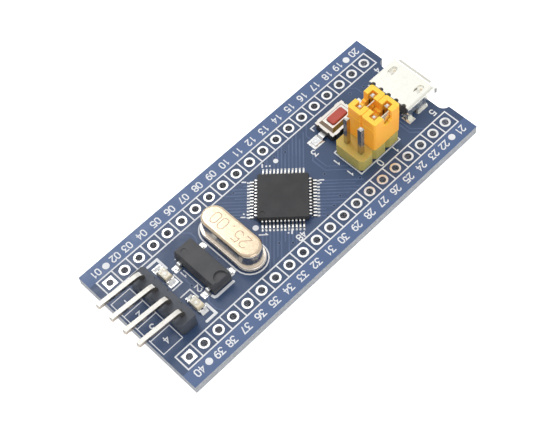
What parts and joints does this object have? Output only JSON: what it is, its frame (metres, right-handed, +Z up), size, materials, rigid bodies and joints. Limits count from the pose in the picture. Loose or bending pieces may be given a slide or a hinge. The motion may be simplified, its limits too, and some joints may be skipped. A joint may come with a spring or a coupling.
{
  "type": "microcontroller dev board",
  "caption": "Narrow blue microcontroller board with pin-hole rows along both long edges, a small USB socket, a reset button, boot jumpers and a bent debug header.",
  "frame": {"origin": "centre of the board on its underside, midway between the two rows of header holes", "axes": "+X along the board towards the USB socket, +Y across the board, +Z up through the component side"},
  "size_m": [0.0551, 0.0226, 0.0111],
  "materials": {
    "board": "blue solder mask on both faces, bare glass-epoxy edges",
    "tinned_copper": "tinned copper",
    "solder": "bright solder",
    "chip_epoxy": "moulded epoxy",
    "tinned_lead": "matt tin",
    "crystal_can": "drawn nickel-plated steel, warm tone",
    "crystal_plastic": "moulded epoxy",
    "led_base": "white laminate",
    "led_lens": "clear moulded resin",
    "black_plastic": "moulded, satin",
    "header_pin": "tinned brass wire",
    "olive_plastic": "moulded, slightly translucent",
    "orange_plastic": "moulded, slightly translucent",
    "contact_bronze": "tinned bronze",
    "switch_steel": "pressed steel",
    "red_plastic": "moulded",
    "usb_steel": "nickel-plated steel, near white",
    "usb_plastic": "moulded",
    "contact_gold": "gold flash",
    "capacitor_ceramic": "fired ceramic",
    "alumina": "white alumina",
    "resistor_glaze": "black glaze"
  },
  "bodies": {
    "board": {"circuit_board": "board", "header_pads": "tinned_copper", "pin_rings": "tinned_copper", "pin_solder": "solder", "top_pads": "tinned_copper", "bottom_pads": "tinned_copper", "part_solder": "solder", "main_chip_body": "chip_epoxy", "main_chip_leads": "tinned_lead", "main_crystal_can": "crystal_can", "main_crystal_base": "crystal_can", "main_crystal_wires": "tinned_lead", "clock_crystal_body": "crystal_plastic", "clock_crystal_leads": "tinned_lead", "power_led_base": "led_base", "power_led_terminals": "tinned_lead", "power_led_lens": "led_lens", "user_led_base": "led_base", "user_led_terminals": "tinned_lead", "user_led_lens": "led_lens", "debug_header_block": "black_plastic", "debug_header_pins": "header_pin", "boot_header_block": "olive_plastic", "boot_header_pins": "header_pin", "reset_switch_base": "black_plastic", "reset_switch_cover": "switch_steel", "reset_switch_dome": "switch_steel", "reset_switch_terminals": "tinned_lead", "usb_shell": "usb_steel", "usb_tongue": "usb_plastic", "usb_contacts": "contact_gold", "usb_solder": "solder", "regulator_body": "chip_epoxy", "regulator_leads": "tinned_lead", "capacitor_bodies": "capacitor_ceramic", "capacitor_terminals": "tinned_lead", "resistor_bodies": "alumina", "resistor_coats": "resistor_glaze", "resistor_terminals": "tinned_lead"},
    "reset_button": {"reset_switch_button": "red_plastic"},
    "jumper_a": {"jumper_cap_a": "orange_plastic", "jumper_contact_a": "contact_bronze"},
    "jumper_b": {"jumper_cap_b": "orange_plastic", "jumper_contact_b": "contact_bronze"}
  },
  "joints": [
    {"name": "reset_press", "type": "slide", "parent": "board", "child": "reset_button", "axis": [0, 0, -1], "range_m": [0, 0.00025]},
    {"name": "jumper_a_lift", "type": "slide", "parent": "board", "child": "jumper_a", "axis": [0, 0, 1], "range_m": [0, 0.008]},
    {"name": "jumper_b_lift", "type": "slide", "parent": "board", "child": "jumper_b", "axis": [0, 0, 1], "range_m": [0, 0.008]}
  ]
}
